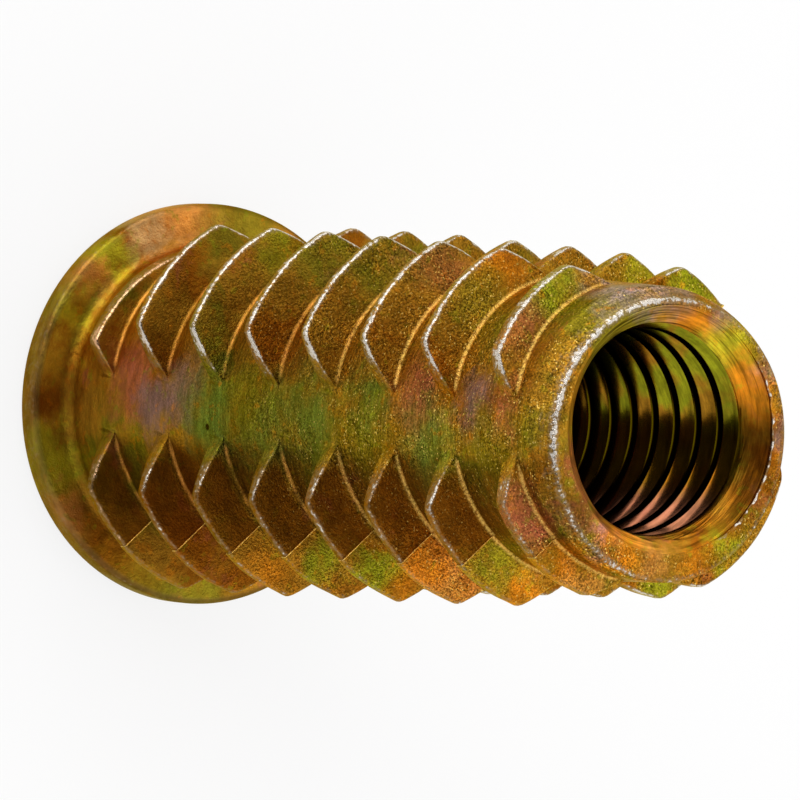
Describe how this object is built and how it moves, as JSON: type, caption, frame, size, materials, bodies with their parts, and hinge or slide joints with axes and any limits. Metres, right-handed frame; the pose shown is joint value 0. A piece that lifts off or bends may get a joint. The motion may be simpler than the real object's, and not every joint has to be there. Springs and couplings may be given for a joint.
{
  "type": "threaded insert",
  "caption": "Flanged wood insert: a tapered barrel with an interrupted coarse outer thread, a tapped through bore and a hex drive socket in the flange.",
  "frame": {"origin": "centre of the flange's outer face, which is the base the part stands on", "axes": "+Z along the bore axis, from the flange to the nose; the four rows of fins lie midway between the X and Y axes"},
  "size_m": [0.0144, 0.0144, 0.03],
  "materials": {
    "passivated_zinc": "satin"
  },
  "bodies": {
    "root": {"insert": "passivated_zinc"}
  },
  "joints": []
}
